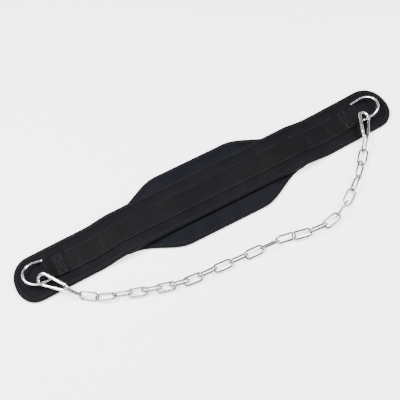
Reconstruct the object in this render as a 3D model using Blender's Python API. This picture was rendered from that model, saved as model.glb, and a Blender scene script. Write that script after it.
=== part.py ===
"""A dip belt for weighted pull-ups and dips, lying open on a flat surface.

Metres, +Z up. The belt runs along X and the chain lies on its -Y side. The origin is under the middle of
the belt, on the surface that it lies on.
"""
import math

import bmesh
import bpy
from mathutils import Matrix, Vector

# Padded band and its rim tape
BAND_LENGTH = 0.783
BAND_WIDTH = 0.100
BAND_CORE = 0.0044
TIP_LENGTH = 0.040
TIP_POWER = 2.15
TAPE = 0.0010
TAPE_WIDTH = 0.0085

# Back pad under the band
PAD_WIDTH = 0.1716
PAD_FULL = 0.0735          # half of the stretch that has the full width
PAD_TAPER = 0.103          # from there to where its edge has passed under the band
PAD_TUCK = 0.003           # how far its end lies inside the band's edge
PAD_CORNER = 0.020
PAD_CORE = 0.0060
PAD_RIM_CORE = 0.0032
CROWN_START = 0.0110       # from the rim, past its tape, to where the pad thickens
CROWN_RUN = 0.036          # from the rim to the pad's full thickness
RAMP_LEAD = 0.0135         # the band starts down this far before the pad's end
RAMP_LENGTH = 0.055

# How the belt wanders sideways as it lies, at its two ends
STRAIGHT_HALF = 0.050
DRIFT_LEFT = -0.0052
DRIFT_RIGHT = 0.0116

# Nylon strap, with a loop round a ring's bar at each end
STRAP_THICK = 0.0016
BAR_REACH = 0.3285         # from the middle of the belt to each ring's bar
FOLD_BACK = 0.035
LOOP_SLACK = 0.0015

# D-rings
RING_WIRE = 0.0040
RING_PLAY = 0.0022         # a ring's inside is this much wider than the loop
RING_ARM = 0.0180
RING_CORNER = 0.0028
RING_TILT = math.radians(11.5)
RING_ROLL = math.radians(3.5)

# Spring snap hooks and their gates
HOOK_WIRE = 0.0058
HOOK_LENGTH = 0.064
HOOK_WIDE = 0.0100         # bend radius of the wire's centre at the ring's end
HOOK_NARROW = 0.0050       # and at the chain's end
GATE_CLEAR = 0.0004
NOSE_STRAIGHT = 0.0110     # the nose runs on this far past the wide bend
TANG_THICK = 0.0016
TANG_WIDTH = 0.0040
RIVET_RADIUS = 0.0009
RIVET_CLEAR = 0.0003
PIVOT_RISE = 0.0060        # from the narrow bend's end to the gate's rivet
GATE_HEEL = 0.0014         # how far the gate runs on past its rivet
HOOK_ROLL = math.radians(33.0)
HOOK_DIP = math.radians(2.2)
# Each hook: side, heading of its length, and where it lies under its ring's near arm, from the ring's bar
# and from the middle of the hook's wide bend
HOOKS = (("left", -1, math.radians(-51.0), 0.0180, 0.0),
         ("right", 1, math.radians(-119.0), 0.0105, 0.0010))

# Chain
LINK_WIRE = 0.0032
LINK_LENGTH = 0.0386
LINK_WIDTH = 0.0182
LINK_COUNT = 24
LINK_PLAY = 0.0024         # how much less than taut two links lie apart, one flat and one upright
LEAN_REACH = 0.0018        # and how much further apart two leaning ones lie
LINK_HEIGHT = 0.0043       # least height of a flat link's wire above the surface
HANG = 0.0008              # how far the last link but one is lifted

GAP = 0.0003               # between pieces that touch

# The chain's route from hook to hook, chosen by hand: share of the bars' reach, and how far off the band's
# edge as a share of its width
ROUTE = ((-0.874, 0.360), (-0.791, 0.540), (-0.654, 0.715), (-0.499, 0.900), (-0.356, 1.025),
         (-0.189, 1.063), (0.000, 1.105), (0.183, 1.130), (0.311, 1.225), (0.405, 1.278), (0.493, 1.257),
         (0.575, 1.145), (0.658, 0.965), (0.755, 0.700), (0.828, 0.460), (0.880, 0.260))
# The links that lie bunched up and take what is left of the route, between these shares of a full step
BUNCHED = (4, 5, 6, 7, 8)
BUNCH_LEAST = 0.82
BUNCH_MOST = 0.93
# How the chain is twisted: share of the chain, roll of its links in degrees
TWIST = ((0.00, -61), (0.045, -36), (0.09, -12), (0.13, 8), (0.48, 10), (0.522, 15), (0.565, 42), (0.61, 70),
         (0.652, 94), (0.70, 101), (0.78, 104), (0.83, 120), (0.87, 130), (0.91, 148), (0.957, 178), (1.00, 209))

# Worked out from the sizes above
BAND_THICK = BAND_CORE + 2 * (TAPE + GAP)
STRAP_WIDTH = 0.48 * BAND_WIDTH
LOOP_WIDTH = 0.43 * BAND_WIDTH
PAD_NECK = BAND_WIDTH / 2 - PAD_TUCK
PAD_END = PAD_FULL + PAD_TAPER + PAD_CORNER
PAD_TOP = TAPE + GAP + PAD_CORE
PAD_RIM_TOP = PAD_RIM_CORE + 2 * (TAPE + GAP)
BAND_RISE = PAD_TOP + GAP
CORE_TOP = TAPE + GAP + BAND_CORE
STRAP_BASE = CORE_TOP + GAP
BAR_HEIGHT = STRAP_BASE + STRAP_THICK + GAP + RING_WIRE / 2 + LOOP_SLACK
RING_WIDTH = LOOP_WIDTH + RING_PLAY + RING_WIRE
RING_RADIUS = RING_WIDTH / 2


def smooth(t):
    """Goes from 0 to 1 with a level start and end."""
    t = min(max(t, 0.0), 1.0)
    return t * t * (3 - 2 * t)


def drift(x):
    """How far the belt's middle line lies off the X axis at x."""
    past = max(abs(x) - STRAIGHT_HALF, 0.0) / (BAND_LENGTH / 2 - STRAIGHT_HALF)
    return (DRIFT_LEFT if x < 0 else DRIFT_RIGHT) * past ** 2


def band_floor(x):
    """Height of the band's underside: on the pad in the middle, on the surface towards its ends."""
    return BAND_RISE * (1 - smooth((abs(x) - (PAD_END - RAMP_LEAD)) / RAMP_LENGTH))


def pad_half_width(x):
    """Half the back pad's width at x."""
    along = abs(x)
    neck_at = PAD_FULL + PAD_TAPER
    if along <= neck_at:
        return PAD_NECK + (PAD_WIDTH / 2 - PAD_NECK) * smooth((neck_at - along) / PAD_TAPER)
    into = min(along - neck_at, PAD_CORNER)
    return PAD_NECK - PAD_CORNER + math.sqrt(PAD_CORNER ** 2 - into ** 2)


def pad_crown(x, y):
    """0 under the pad's rim tape, 1 further in where the pad is full."""
    inside = min(pad_half_width(x) - abs(y), PAD_END - abs(x))
    return smooth((inside - CROWN_START) / (CROWN_RUN - CROWN_START))


def pad_core_top(x, y):
    """Height of the pad's upper face."""
    return TAPE + GAP + PAD_RIM_CORE + (PAD_CORE - PAD_RIM_CORE) * pad_crown(x, y)


def pad_core_bottom(x, y):
    """Height of the pad's underside, which lies on the surface past its tape."""
    return (TAPE + GAP) * (1 - pad_crown(x, y))


def new_object(name, mesh, material, smooth_angle=35.0):
    """Puts a mesh in the scene under its own name."""
    piece = bpy.data.objects.new(name, mesh)
    bpy.context.scene.collection.objects.link(piece)
    if not mesh.materials:
        mesh.materials.append(material)
    mesh.shade_smooth()
    mesh.set_sharp_from_angle(angle=math.radians(smooth_angle))
    return piece


def material(name, colour, roughness, metallic):
    """A plain finish in the colour that the piece has."""
    finish = bpy.data.materials.new(name)
    finish.use_nodes = True
    shader = finish.node_tree.nodes["Principled BSDF"]
    shader.inputs["Base Color"].default_value = (*colour, 1.0)
    shader.inputs["Roughness"].default_value = roughness
    shader.inputs["Metallic"].default_value = metallic
    return finish


def mesh_from(bm, name):
    """Makes a mesh whose faces all point outwards."""
    bmesh.ops.recalc_face_normals(bm, faces=bm.faces)
    mesh = bpy.data.meshes.new(name)
    bm.to_mesh(mesh)
    bm.free()
    return mesh


def skin(name, along, around, place, ring):
    """A grid wrapped round a section and led along a path; place gives the corner at (i, j)."""
    bm = bmesh.new()
    bmesh.ops.create_grid(bm, x_segments=along, y_segments=around, size=1.0)
    for corner in bm.verts:
        i = round((corner.co.x + 1) / 2 * along)
        j = round((corner.co.y + 1) / 2 * around)
        corner.co = place(i % along if ring else i, j % around)
    bmesh.ops.remove_doubles(bm, verts=bm.verts, dist=0.00001)
    if not ring:
        bmesh.ops.holes_fill(bm, edges=[edge for edge in bm.edges if edge.is_boundary])
    return mesh_from(bm, name)


def rim_points(stations, half_width, end_reach, columns):
    """The outline as a closed list of points: far side, right end, near side, left end."""
    far = [Vector((x, half_width(x))) for x in stations]
    near = [Vector((x, -half_width(x))) for x in reversed(stations)]
    ends = []
    for side in (1, -1):
        edge_x = side * abs(stations[-1])
        half = half_width(edge_x)
        points = []
        for column in range(1, columns):
            share = 1 - 2 * column / columns
            bulge = (end_reach - abs(edge_x)) * (1 - share ** 2)
            points.append(Vector((edge_x + side * bulge, side * share * half)))
        ends.append(points)
    return far + ends[0] + near + ends[1]


def moved_in(rim, distance):
    """The outline moved inwards by a distance, square to itself."""
    moved = []
    for k, point in enumerate(rim):
        way = (rim[(k + 1) % len(rim)] - rim[k - 1]).normalized()
        moved.append(point + Vector((way.y, -way.x)) * distance)
    return moved


def laid(x, y, z):
    """A point of the straight belt, where it lies."""
    return Vector((x, y + drift(x), z))


def core_slab(name, rim, stations, half_width, insets, bottom, top):
    """A padded core: a grid inside the tape's rim, given its thickness by extruding it."""
    edge = moved_in(rim, TAPE + GAP)
    rows = len(stations)
    columns = 2 * len(insets) + 1

    def spot(i, j):
        if j == columns:
            return edge[i]
        if j == 0:
            return edge[2 * rows + columns - 2 - i]
        if i == rows - 1:
            return edge[rows + columns - 1 - j]
        if i == 0:
            return edge[2 * rows + columns - 2 + j]
        half = half_width(stations[i])
        step = min(j, columns - j)
        reach = half - min(insets[step - 1], half * step / (len(insets) + 0.7))
        return Vector((stations[i], -reach if j < columns / 2 else reach))

    bm = bmesh.new()
    bmesh.ops.create_grid(bm, x_segments=rows - 1, y_segments=columns, size=1.0)
    for corner in bm.verts:
        i = round((corner.co.x + 1) / 2 * (rows - 1))
        j = round((corner.co.y + 1) / 2 * columns)
        flat = spot(i, j)
        corner.co = laid(flat.x, flat.y, top(flat.x, flat.y))
    made = bmesh.ops.extrude_face_region(bm, geom=list(bm.faces))["geom"]
    for corner in made:
        if isinstance(corner, bmesh.types.BMVert):
            x, y = corner.co.x, corner.co.y - drift(corner.co.x)
            corner.co.z = bottom(x, y)
    return mesh_from(bm, name)


def rim_tape(name, rim, bottom, top):
    """The tape folded round a rim: a flat C in section, all the way round."""
    inner = moved_in(rim, TAPE)
    flange = moved_in(rim, TAPE_WIDTH)

    def place(k, corner):
        at = (rim, flange, flange, inner, inner, flange, flange, rim)[corner][k]
        low = bottom(at.x, at.y)
        high = top(at.x, at.y)
        z = (low, low, low + TAPE, low + TAPE, high - TAPE, high - TAPE, high, high)[corner]
        return laid(at.x, at.y, z)

    return skin(name, len(rim), 8, place, ring=True)


def mirrored(half):
    """Stations on both sides of the middle, from those on the right."""
    return [-x for x in reversed(half) if x > 0] + half


def band_stations():
    """Where the band's cross rows stand: close together on its ramps and round its tips."""
    ramp = PAD_END - RAMP_LEAD
    half = [0.0, ramp * 0.34, ramp * 0.68]
    half += [ramp + RAMP_LENGTH * step / 6 for step in range(7)]
    tip = BAND_LENGTH / 2 - TIP_LENGTH
    left = tip - half[-1]
    half += [half[-1] + left * 0.36, half[-1] + left * 0.70]
    half += [tip + TIP_LENGTH * math.cos(math.radians(turn)) ** (2 / TIP_POWER) for turn in (90, 68, 48, 30, 14)]
    return mirrored(half)


def band_half_width(x):
    """Half the band's width at x, round at the tips."""
    into = (abs(x) - (BAND_LENGTH / 2 - TIP_LENGTH)) / TIP_LENGTH
    if into <= 0:
        return BAND_WIDTH / 2
    return BAND_WIDTH / 2 * (1 - min(into, 1.0) ** TIP_POWER) ** (1 / TIP_POWER)


def pad_stations():
    """Where the pad's cross rows stand: along its tapers and round its hidden corners."""
    half = [0.0, PAD_FULL * 0.6]
    half += [PAD_FULL + PAD_TAPER * step / 8 for step in range(9)]
    neck = PAD_FULL + PAD_TAPER
    half += [neck + PAD_CORNER * math.sin(math.radians(turn)) for turn in (30, 60, 90)]
    return mirrored(half)


def strap_path():
    """The strap's middle line in the XZ plane, from one folded end to the other: x, z, loop share."""
    mid = STRAP_BASE + STRAP_THICK / 2
    over = mid + STRAP_THICK + GAP
    bend = (RING_WIRE + LOOP_SLACK) / 2 + GAP + STRAP_THICK / 2
    top = mid + 2 * bend
    half = [(BAR_REACH - FOLD_BACK, mid, 0.0), (BAR_REACH - 0.012, mid, 0.0)]
    for turn in range(-90, 91, 30):
        angle = math.radians(turn)
        half.append((BAR_REACH + bend * math.cos(angle), mid + bend + bend * math.sin(angle), (turn + 90) / 180))
    for back in (0.25, 0.5, 0.75, 1.0):
        height = top + (over - top) * smooth(back)
        half.append((BAR_REACH - 0.018 * back, height, 1 - smooth(back)))
    half.append((BAR_REACH - FOLD_BACK - GAP, over, 0.0))
    half.append((BAR_REACH - FOLD_BACK - 0.003, (over + mid) / 2, 0.0))
    half.append((BAR_REACH - FOLD_BACK - 0.006, mid, 0.0))
    limit = half[-1][0] - 0.004
    middle = [(x, mid + band_floor(x), 0.0) for x in reversed(band_stations()) if abs(x) < limit]
    other = [(-x, z, share) for x, z, share in reversed(half)]
    return half + middle + other


def strap_mesh():
    """The strap: its section led along the path, drawn in and lifted at one edge in the loops."""
    path = strap_path()

    def place(i, corner):
        x, z, share = path[i]
        before = path[max(i - 1, 0)]
        after = path[min(i + 1, len(path) - 1)]
        way = Vector((after[0] - before[0], after[1] - before[1])).normalized()
        out = (STRAP_THICK / 2) * (1 if corner in (1, 2) else -1)
        near_bar = smooth((abs(x) - (BAR_REACH - FOLD_BACK)) / (FOLD_BACK - 0.012))
        half = (STRAP_WIDTH + (LOOP_WIDTH - STRAP_WIDTH) * near_bar) / 2
        y = half if corner in (2, 3) else -half
        lift = -y * math.sin(RING_ROLL) * share
        return laid(x - way.y * out, y, z + way.x * out + lift)

    return skin("webbing", len(path) - 1, 4, place, ring=False)


def bent_wire(name, points, wire, sides, closed):
    """A round wire along a list of points, as a mesh."""
    curve = bpy.data.curves.new(name, "CURVE")
    curve.dimensions = "3D"
    curve.bevel_depth = wire / 2
    curve.bevel_resolution = (sides - 4) // 2
    curve.use_fill_caps = not closed
    run = curve.splines.new("POLY")
    run.points.add(len(points) - 1)
    for spot, point in zip(run.points, points):
        spot.co = (*point, 1.0)
    run.use_cyclic_u = closed
    guide = bpy.data.objects.new(name, curve)
    bpy.context.scene.collection.objects.link(guide)
    bpy.context.view_layer.update()
    mesh = bpy.data.meshes.new_from_object(guide.evaluated_get(bpy.context.evaluated_depsgraph_get()))
    bpy.data.objects.remove(guide)
    bpy.data.curves.remove(curve)
    bm = bmesh.new()
    bm.from_mesh(mesh)
    bpy.data.meshes.remove(mesh)
    bmesh.ops.remove_doubles(bm, verts=bm.verts, dist=0.000005)
    return mesh_from(bm, name)


def joined(name, base, steps):
    """A mesh with others added to it or cut from it, in order."""
    shape = bpy.data.objects.new(name, base)
    bpy.context.scene.collection.objects.link(shape)
    tools = []
    for operation, mesh in steps:
        tool = bpy.data.objects.new(name + "_tool", mesh)
        bpy.context.scene.collection.objects.link(tool)
        cut = shape.modifiers.new(operation, "BOOLEAN")
        cut.operation = operation
        cut.object = tool
        tools.append(tool)
    bpy.context.view_layer.update()
    result = bpy.data.meshes.new_from_object(shape.evaluated_get(bpy.context.evaluated_depsgraph_get()))
    for tool in tools + [shape]:
        bpy.data.objects.remove(tool)
    bm = bmesh.new()
    bm.from_mesh(result)
    bpy.data.meshes.remove(result)
    bmesh.ops.triangulate(bm, faces=bm.faces)
    return mesh_from(bm, name)


def box_mesh(name, low, high):
    """A box between two corners."""
    bm = bmesh.new()
    bmesh.ops.create_cube(bm, size=1.0)
    low, high = Vector(low), Vector(high)
    bmesh.ops.scale(bm, vec=high - low, verts=bm.verts)
    bmesh.ops.translate(bm, vec=(low + high) / 2, verts=bm.verts)
    return mesh_from(bm, name)


def round_mesh(name, radius, length, sides, turn):
    """A cylinder about the origin, turned by a matrix."""
    bm = bmesh.new()
    bmesh.ops.create_cone(bm, cap_ends=True, segments=sides, radius1=radius, radius2=radius, depth=length,
                          matrix=turn)
    return mesh_from(bm, name)


def arc(centre, radius, start, end, count):
    """Points on an arc in the XY plane, angles in radians."""
    points = []
    for step in range(count + 1):
        angle = start + (end - start) * step / count
        points.append(Vector((centre[0] + radius * math.cos(angle), centre[1] + radius * math.sin(angle), 0.0)))
    return points


def ring_mesh():
    """A D-ring: straight bar on the Y axis, arms along +X, half-round bow."""
    half = RING_RADIUS
    turn = math.pi / 2
    bow = arc((RING_ARM, 0), half, -turn, turn, 12)
    far_corner = arc((RING_CORNER, half - RING_CORNER), RING_CORNER, turn, 2 * turn, 3)
    near_corner = arc((RING_CORNER, -half + RING_CORNER), RING_CORNER, 2 * turn, 3 * turn, 3)
    return bent_wire("ring", bow + far_corner + near_corner, RING_WIRE, 8, closed=True)


def hook_layout():
    """The hook in its own plane: X runs from the wide bend's centre to the narrow one's."""
    span = HOOK_LENGTH - HOOK_WIRE - HOOK_WIDE - HOOK_NARROW
    lean = math.asin((HOOK_WIDE - HOOK_NARROW) / span)
    side = math.pi / 2 - lean
    along = Vector((math.cos(lean), -math.sin(lean), 0.0))
    narrow_touch = Vector((span + HOOK_NARROW * math.cos(side), HOOK_NARROW * math.sin(side), 0.0))
    pivot = narrow_touch - along * PIVOT_RISE
    return span, side, along, pivot


def hook_mesh():
    """The bent wire from its nose round the wide bend, down the back and round to the gate's tang."""
    span, side, along, pivot = hook_layout()
    wide = arc((0, 0), HOOK_WIDE, side, 2 * math.pi - side, 12)
    narrow = arc((span, 0), HOOK_NARROW, -side, side, 8)
    nose = wide[0] + along * NOSE_STRAIGHT
    shoulder = TANG_WIDTH / 2 + RIVET_CLEAR + GAP
    wire_end = pivot + along * shoulder
    wire = bent_wire("hook_wire", [nose] + wide + narrow + [wire_end], HOOK_WIRE, 8, closed=False)
    across = Vector((-along.y, along.x, 0.0))
    half = TANG_WIDTH / 2
    frame = Matrix.Translation(pivot) @ Matrix((along, across, Vector((0, 0, 1)))).transposed().to_4x4()
    tang = box_mesh("tang", (0, -half, -TANG_THICK / 2), (shoulder + 0.0015, half, TANG_THICK / 2))
    tang.transform(frame)
    tip = round_mesh("tang_tip", half, TANG_THICK, 12, frame)
    eye = round_mesh("tang_eye", RIVET_RADIUS + RIVET_CLEAR, TANG_THICK * 3, 10, frame)
    return joined("hook", wire, [("UNION", tang), ("UNION", tip), ("DIFFERENCE", eye)])


def gate_mesh():
    """The gate about its rivet: a bar towards the nose, slotted for the tang, with the rivet in it."""
    span, side, along, pivot = hook_layout()
    length = span * along.x - PIVOT_RISE - NOSE_STRAIGHT - GATE_CLEAR
    turn = Matrix.Rotation(math.pi / 2, 4, "Y")
    bar = round_mesh("gate_bar", HOOK_WIRE / 2, length + GATE_HEEL, 10,
                     Matrix.Translation(((GATE_HEEL - length) / 2, 0, 0)) @ turn)
    slot_half = TANG_THICK / 2 + GAP
    reach = HOOK_WIRE
    slot = box_mesh("gate_slot", (-TANG_WIDTH / 2 - RIVET_CLEAR - 0.0005, -reach, -slot_half),
                    (GATE_HEEL + reach, reach, slot_half))
    rivet = round_mesh("rivet", RIVET_RADIUS, HOOK_WIRE * 0.96, 10, Matrix.Identity(4))
    return joined("gate", bar, [("DIFFERENCE", slot), ("UNION", rivet)])


def link_mesh():
    """One chain link, lying in the XY plane along X."""
    radius = (LINK_WIDTH - LINK_WIRE) / 2
    centre = (LINK_LENGTH - LINK_WIRE) / 2 - radius
    turn = math.pi / 2
    points = arc((centre, 0), radius, -turn, turn, 6) + arc((-centre, 0), radius, turn, 3 * turn, 6)
    return bent_wire("link", points, LINK_WIRE, 6, closed=True)


def ring_frame(side):
    """Where a ring lies: its bar in the strap's loop, its bow towards the belt's tip."""
    bar = laid(side * BAR_REACH, 0.0, BAR_HEIGHT)
    out = Vector((side * math.cos(RING_TILT), 0, math.sin(RING_TILT)))
    roll = Matrix.Rotation(-side * RING_ROLL, 3, out)
    across = roll @ Vector((0, 1, 0))
    up = out.cross(across)
    return Matrix.Translation(bar) @ Matrix((out, across, up)).transposed().to_4x4()


def hook_frame(side, heading, cross, slip):
    """Where a hook lies: its outer side is under the ring's near arm, its inner side over the loop."""
    flat = Vector((math.cos(heading), math.sin(heading), 0))
    level = Vector((-flat.y, flat.x, 0)) * side
    along = flat * math.cos(HOOK_DIP) - Vector((0, 0, 1)) * math.sin(HOOK_DIP)
    outer = level * math.cos(HOOK_ROLL) - along.cross(level) * (side * math.sin(HOOK_ROLL))
    arm = ring_frame(side) @ Vector((cross, -RING_RADIUS, 0))
    under = arm - Vector((0, 0, (RING_WIRE + HOOK_WIRE) / 2 + 1.8 * GAP))
    centre = under - outer * HOOK_WIDE - along * slip
    inner = -outer
    up = along.cross(inner)
    return Matrix.Translation(centre) @ Matrix((along, inner, up)).transposed().to_4x4()


def curve_through(points, steps):
    """A smooth curve through points, read at even steps between them."""
    line = []
    for k in range(len(points) - 1):
        before = points[max(k - 1, 0)]
        start, end = points[k], points[k + 1]
        after = points[min(k + 2, len(points) - 1)]
        for step in range(steps):
            t = step / steps
            line.append(0.5 * ((2 * start) + (end - before) * t
                               + (2 * before - 5 * start + 4 * end - after) * t ** 2
                               + (3 * start - before - 3 * end + after) * t ** 3))
    line.append(points[-1])
    return line


def walk(line, distance):
    """The point at a distance along a line."""
    for start, end in zip(line, line[1:]):
        step = (end - start).length
        if distance <= step:
            return start.lerp(end, distance / step)
        distance -= step
    return line[-1]


def twist_at(share):
    """Roll of the chain's links at a share of its length."""
    for (start, first), (end, last) in zip(TWIST, TWIST[1:]):
        if share <= end:
            return math.radians(first + (last - first) * (share - start) / (end - start))
    return math.radians(TWIST[-1][1])


def rest_height(lean, loose):
    """Height of a link's centre: on the surface, or held up by its neighbours where it lies flat."""
    upright = (LINK_WIDTH - LINK_WIRE) / 2 * abs(math.sin(lean))
    return LINK_WIRE / 2 + max(upright, LINK_WIRE + GAP if loose else LINK_HEIGHT)


def chain_line(left_end, right_end, depth):
    """The route from hook to hook, its bow as deep as it was drawn or a share of that."""
    route = [Vector((x * BAR_REACH, -BAND_WIDTH * (0.5 + off * depth), 0)) for x, off in ROUTE]
    return curve_through([left_end.to_2d().to_3d()] + route + [right_end.to_2d().to_3d()], 12)


def length_of(line):
    """Length along a list of points."""
    return sum((end - start).length for start, end in zip(line, line[1:]))


def bowed_line(left_end, right_end, length):
    """The route with the bow that makes it this long."""
    shallow, deep = 0.0, 3.0
    for _ in range(24):
        depth = (shallow + deep) / 2
        if length_of(chain_line(left_end, right_end, depth)) < length:
            shallow = depth
        else:
            deep = depth
    return chain_line(left_end, right_end, deep)


def chain_frames(left_end, right_end):
    """Where each link lies, from the left hook's narrow bend to the right one's."""
    leans = [twist_at(k / (LINK_COUNT - 1)) + (math.pi / 2 if k % 2 else 0.0) for k in range(LINK_COUNT)]
    pitch = LINK_LENGTH - 2 * LINK_WIRE - LINK_PLAY
    steps = [pitch + LEAN_REACH * math.sin(2 * lean) ** 4 for lean in leans]
    steps[0] = steps[-1] = pitch
    drawn = length_of(chain_line(left_end, right_end, 1.0))
    left_over = (drawn - sum(step for k, step in enumerate(steps) if k not in BUNCHED)) / len(BUNCHED)
    for k in BUNCHED:
        steps[k] = pitch * min(max(left_over / pitch, BUNCH_LEAST), BUNCH_MOST)
    line = bowed_line(left_end, right_end, sum(steps))
    joints = [walk(line, sum(steps[:k])) for k in range(LINK_COUNT + 1)]
    frames = []
    for k, lean in enumerate(leans):
        loose = k in BUNCHED
        start, end = joints[k].copy(), joints[k + 1].copy()
        height = rest_height(lean, loose) + (HANG if k == LINK_COUNT - 2 else 0.0)
        start.z = left_end.z if k == 0 else height
        end.z = right_end.z if k == LINK_COUNT - 1 else height
        axis = (end - start).normalized()
        side_way = axis.cross(Vector((0, 0, 1))).normalized()
        top = side_way.cross(axis)
        normal = top * math.cos(lean) + side_way * math.sin(lean)
        across = normal.cross(axis)
        turn = Matrix((axis, across, normal)).transposed().to_4x4()
        frames.append(Matrix.Translation((start + end) / 2) @ turn)
    return frames


def clear_scene():
    """Removes what the file held before."""
    for old in list(bpy.data.objects):
        bpy.data.objects.remove(old)


def build_soft_parts():
    """The pads, their tapes and the strap."""
    neoprene = material("black_padding", (0.018, 0.020, 0.030), 0.75, 0.0)
    tape = material("black_tape", (0.012, 0.013, 0.018), 0.65, 0.0)
    nylon = material("black_nylon", (0.020, 0.021, 0.026), 0.60, 0.0)
    stations = pad_stations()
    insets = (CROWN_START, (CROWN_START + CROWN_RUN) / 2, CROWN_RUN)
    rim = rim_points(stations, pad_half_width, PAD_END, 2 * len(insets) + 1)
    core = core_slab("back_pad", rim, stations, pad_half_width, insets, pad_core_bottom, pad_core_top)
    new_object("back_pad", core, neoprene)
    tape_mesh = rim_tape("back_pad_binding", rim, lambda x, y: 0.0, lambda x, y: PAD_RIM_TOP)
    new_object("back_pad_binding", tape_mesh, tape)

    stations = band_stations()
    insets = (CROWN_START, CROWN_RUN)
    rim = rim_points(stations, band_half_width, BAND_LENGTH / 2, 2 * len(insets) + 1)
    core = core_slab("band", rim, stations, band_half_width, insets, lambda x, y: band_floor(x) + TAPE + GAP,
                     lambda x, y: band_floor(x) + CORE_TOP)
    new_object("band", core, neoprene)
    tape_mesh = rim_tape("band_binding", rim, lambda x, y: band_floor(x), lambda x, y: band_floor(x) + BAND_THICK)
    new_object("band_binding", tape_mesh, tape)
    new_object("webbing", strap_mesh(), nylon)


def build_metal_parts():
    """The rings, the hooks with their gates, and the chain."""
    plated = material("plated_steel", (0.80, 0.81, 0.83), 0.18, 1.0)
    zinc = material("zinc_chain", (0.74, 0.75, 0.77), 0.28, 1.0)
    ring = ring_mesh()
    hook = hook_mesh()
    gate = gate_mesh()
    span, _, along, pivot = hook_layout()
    across = Vector((-along.y, along.x, 0.0))
    gate_turn = Matrix.Translation(pivot) @ Matrix((along, across, Vector((0, 0, 1)))).transposed().to_4x4()
    ends = []
    for name, side, heading, cross, slip in HOOKS:
        new_object("ring_" + name, ring, plated).matrix_world = ring_frame(side)
        place = hook_frame(side, heading, cross, slip)
        new_object("hook_" + name, hook, plated).matrix_world = place
        new_object("gate_" + name, gate, plated).matrix_world = place @ gate_turn
        ends.append(place @ Vector((span + HOOK_NARROW - HOOK_WIRE / 2, 0, 0)))
    link = link_mesh()
    for number, frame in enumerate(chain_frames(*ends), 1):
        new_object("link_%02d" % number, link, zinc).matrix_world = frame


clear_scene()
build_soft_parts()
build_metal_parts()
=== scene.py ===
import math

import bmesh
import bpy
from mathutils import Matrix, Vector, noise


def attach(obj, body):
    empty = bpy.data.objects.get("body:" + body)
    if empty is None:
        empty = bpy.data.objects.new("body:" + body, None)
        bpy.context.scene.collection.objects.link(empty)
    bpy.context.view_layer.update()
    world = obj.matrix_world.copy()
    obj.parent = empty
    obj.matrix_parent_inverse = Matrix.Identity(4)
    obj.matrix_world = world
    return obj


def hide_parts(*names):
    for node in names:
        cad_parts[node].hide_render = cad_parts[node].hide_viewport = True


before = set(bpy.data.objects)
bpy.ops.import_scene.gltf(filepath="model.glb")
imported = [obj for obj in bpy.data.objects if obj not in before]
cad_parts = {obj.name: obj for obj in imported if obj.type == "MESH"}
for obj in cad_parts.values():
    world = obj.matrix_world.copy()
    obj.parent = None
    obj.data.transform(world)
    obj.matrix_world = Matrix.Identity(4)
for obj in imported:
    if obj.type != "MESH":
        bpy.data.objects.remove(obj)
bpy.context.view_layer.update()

# Sizes that the solids have too, in metres. The belt lies along X, with its chain towards -Y.
BAND_LENGTH = 0.783
BAND_WIDTH = 0.100
BAND_CORE = 0.0044
TIP_LENGTH = 0.040
TIP_POWER = 2.15
TAPE = 0.0010
TAPE_WIDTH = 0.0085
PAD_WIDTH = 0.1716
PAD_FULL = 0.0735
PAD_TAPER = 0.103
PAD_TUCK = 0.003
PAD_CORNER = 0.020
PAD_CORE = 0.0060
PAD_RIM_CORE = 0.0032
CROWN_START = 0.0110
CROWN_RUN = 0.036
RAMP_LEAD = 0.0135
RAMP_LENGTH = 0.055
STRAIGHT_HALF = 0.050
DRIFT_LEFT = -0.0052
DRIFT_RIGHT = 0.0116
STRAP_THICK = 0.0016
BAR_REACH = 0.3285
FOLD_BACK = 0.035
LOOP_SLACK = 0.0015
RING_WIRE = 0.0040
RING_PLAY = 0.0022
RING_ARM = 0.0180
RING_CORNER = 0.0028
RING_TILT = math.radians(11.5)
RING_ROLL = math.radians(3.5)
HOOK_WIRE = 0.0058
HOOK_LENGTH = 0.064
HOOK_WIDE = 0.0100
HOOK_NARROW = 0.0050
GATE_CLEAR = 0.0004
NOSE_STRAIGHT = 0.0110
TANG_THICK = 0.0016
TANG_WIDTH = 0.0040
RIVET_RADIUS = 0.0009
RIVET_CLEAR = 0.0003
PIVOT_RISE = 0.0060
GATE_HEEL = 0.0014
GATE_EDGE = 0.0003
SLOT_SPARE = 0.0005
TANG_SET = 0.0015
RIVET_LENGTH = HOOK_WIRE * 1.02
RIVET_EDGE = 0.0002
HOOK_ROLL = math.radians(33.0)
HOOK_DIP = math.radians(2.2)
# Each hook's name, its side, its heading, its place across the ring and its slip along itself
HOOKS = (("left", -1, math.radians(-51.0), 0.0180, 0.0),
         ("right", 1, math.radians(-119.0), 0.0105, 0.0010))
LINK_COUNT = 24
LINK_WIRE = 0.0032
LINK_LENGTH = 0.0386
LINK_WIDTH = 0.0182
GAP = 0.0003

PAD_NECK = BAND_WIDTH / 2 - PAD_TUCK
PAD_END = PAD_FULL + PAD_TAPER + PAD_CORNER
PAD_TOP = TAPE + GAP + PAD_CORE
PAD_RIM_TOP = PAD_RIM_CORE + 2 * (TAPE + GAP)
BAND_RISE = PAD_TOP + GAP
BAND_THICK = BAND_CORE + 2 * (TAPE + GAP)
STRAP_WIDTH = 0.48 * BAND_WIDTH
LOOP_WIDTH = 0.43 * BAND_WIDTH
CORE_TOP = TAPE + GAP + BAND_CORE
STRAP_BASE = CORE_TOP + GAP
BAR_HEIGHT = STRAP_BASE + STRAP_THICK + GAP + RING_WIRE / 2 + LOOP_SLACK
RING_RADIUS = (LOOP_WIDTH + RING_PLAY + RING_WIRE) / 2
FOLD_END = BAR_REACH - FOLD_BACK

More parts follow.
